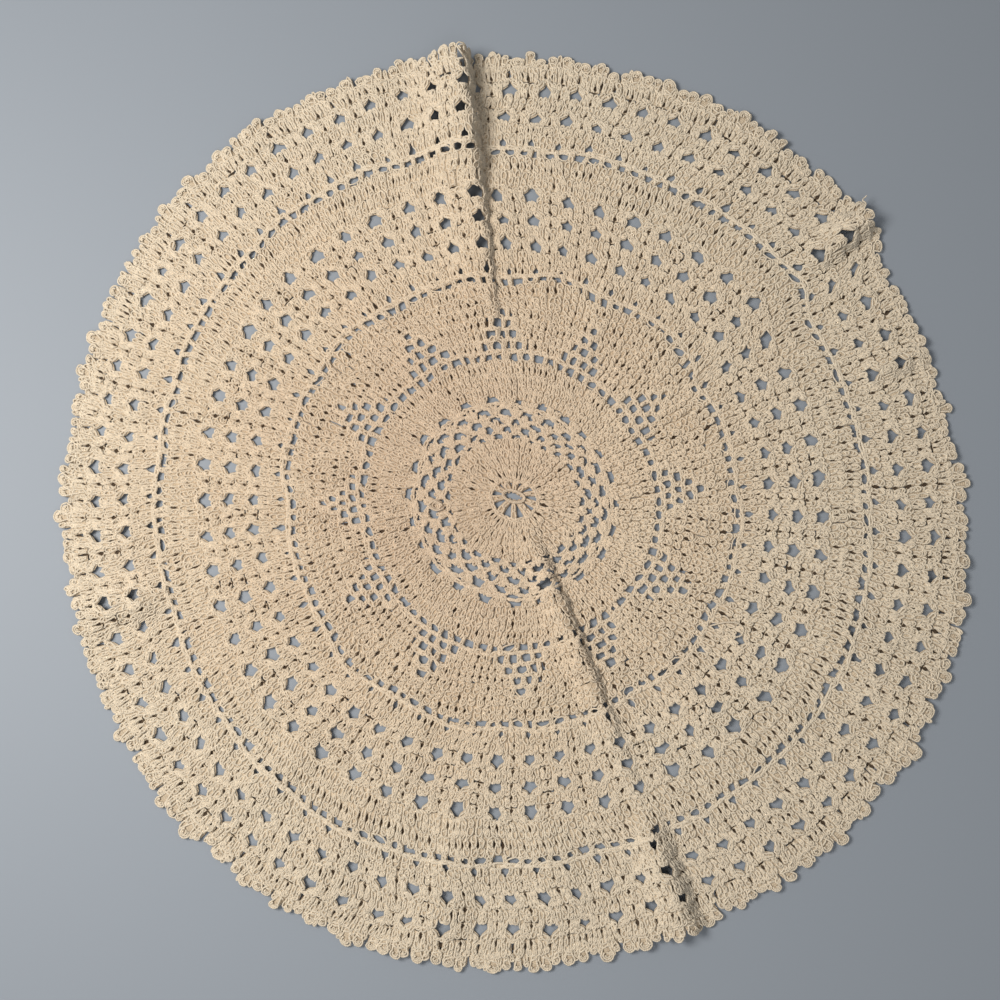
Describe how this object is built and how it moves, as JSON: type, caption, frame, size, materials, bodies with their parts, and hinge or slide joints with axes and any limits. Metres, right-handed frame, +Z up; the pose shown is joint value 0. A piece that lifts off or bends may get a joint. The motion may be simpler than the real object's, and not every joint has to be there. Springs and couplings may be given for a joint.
{
  "type": "lace doily",
  "caption": "Round crocheted lace doily in ecru cotton, scalloped picot rim, twelve-point motif, lying flat with one radial fold raised.",
  "frame": {"origin": "on the surface that the cloth lies on, under the middle of its outline", "axes": "+Z up out of the face side, +Y away from the viewer, towards the rim where the raised fold runs out, +X to the right"},
  "size_m": [0.3724, 0.378, 0.0154],
  "materials": {
    "cotton": "matte crocheted cotton thread, ecru, slightly yellowed and peach-toned towards the middle"
  },
  "bodies": {
    "root": {"doily": "cotton"}
  },
  "joints": []
}
